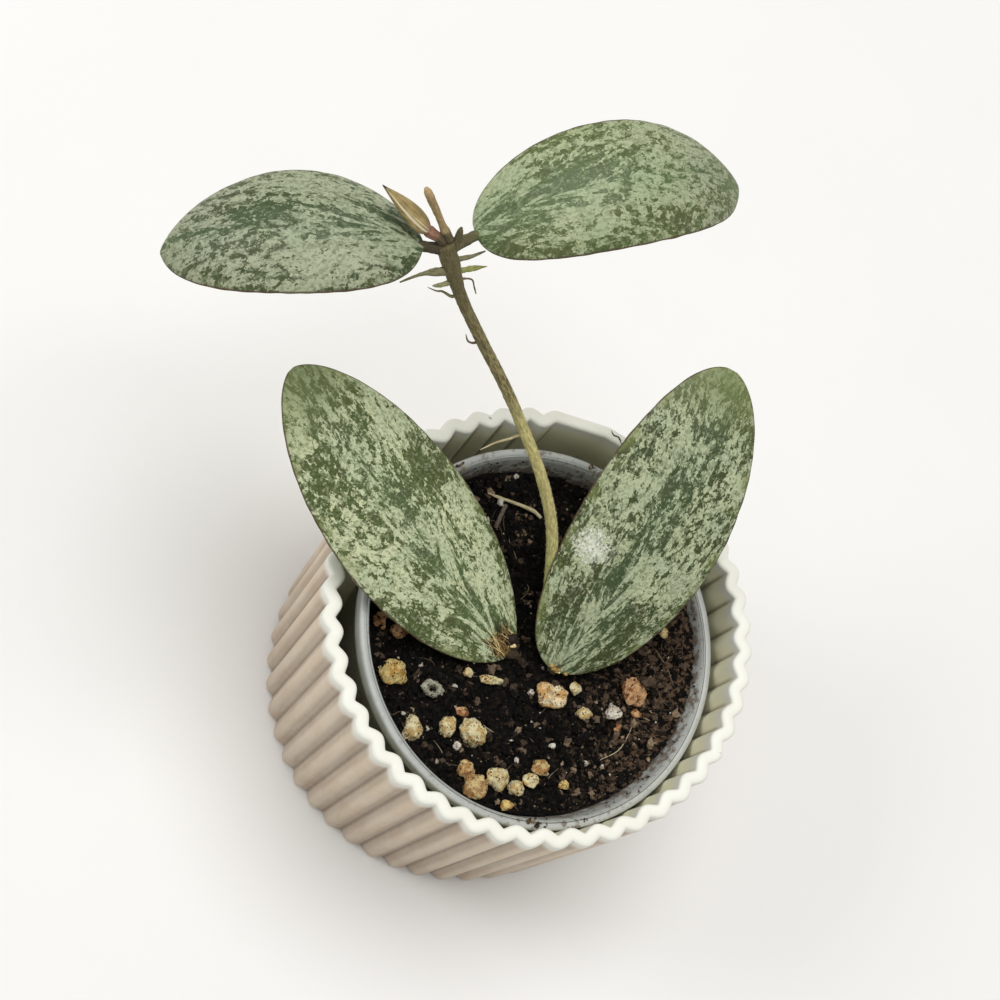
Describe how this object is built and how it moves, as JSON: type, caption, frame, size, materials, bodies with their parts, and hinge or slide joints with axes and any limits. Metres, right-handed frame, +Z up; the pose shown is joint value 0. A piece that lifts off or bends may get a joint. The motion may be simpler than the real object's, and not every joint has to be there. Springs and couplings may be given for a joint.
{
  "type": "potted hoya cutting",
  "caption": "Small potted hoya cutting: leaning stem with thick silver-splashed leaves, rooted in gritty mix in a thin nursery pot inside a fluted round cover pot.",
  "frame": {"origin": "centre of the cover pot's underside", "axes": "+Z up along the pot's axis, +Y away from the viewer, towards the side the stem leans to, +X to the viewer's right"},
  "size_m": [0.1191, 0.1077, 0.1182],
  "materials": {
    "cover_pot": "fine matt cream, moulded flutes, a little dust in the valleys",
    "nursery_plastic": "thin greyish plastic, slightly cloudy, soil specks on the rim",
    "potting_mix": "dark moist crumbly peat and bark with fine white specks",
    "stem_bark": "matt olive brown, finely hairy, darker towards the top",
    "leaf_blade": "thick waxy green, silver grey splashes along the veins, dark thin margin",
    "young_leaf": "ochre olive, dark tip, pale edge line",
    "young_shoot": "reddish brown, finely hairy",
    "green_bract": "soft yellow green",
    "root": "pale dry root",
    "bark": "dark rough bark",
    "grain_ochre": "rough porous, ochre stained",
    "grain_cream": "rough porous, cream",
    "grain_white": "rough porous, off white",
    "grain_tan": "rough porous, tan to orange brown"
  },
  "bodies": {
    "root": {"cache_pot": "cover_pot", "nursery_pot": "nursery_plastic", "soil": "potting_mix", "main_stem": "stem_bark", "leaf_upper_left": "leaf_blade", "leaf_upper_right": "leaf_blade", "leaf_lower_left": "leaf_blade", "leaf_lower_right": "leaf_blade", "young_leaf": "young_leaf", "growing_shoot": "young_shoot", "axillary_bud": "young_shoot", "aerial_root_left": "root", "aerial_root_right": "root", "green_bract": "green_bract", "node_bud": "green_bract", "rootlet_left": "root", "rootlet_right": "root", "stem_rootlet": "root", "back_root": "root", "surface_root": "root", "soil_twig": "bark", "grain_01": "grain_ochre", "grain_02": "grain_white", "grain_03": "grain_ochre", "grain_04": "grain_cream", "grain_05": "grain_cream", "grain_06": "grain_tan", "grain_07": "grain_white", "grain_08": "grain_ochre", "grain_09": "grain_ochre", "grain_10": "grain_cream", "grain_11": "grain_cream", "grain_12": "grain_cream", "grain_13": "grain_ochre", "grain_14": "grain_ochre", "grain_15": "grain_cream", "grain_16": "grain_cream", "grain_17": "grain_cream", "grain_18": "grain_white", "grain_19": "grain_tan", "grain_20": "grain_tan", "grain_21": "grain_tan", "grain_22": "grain_cream", "grain_23": "grain_tan", "grain_24": "grain_tan", "grain_25": "grain_tan", "grain_26": "grain_cream", "grain_27": "grain_cream", "bark_chip": "bark"}
  },
  "joints": []
}
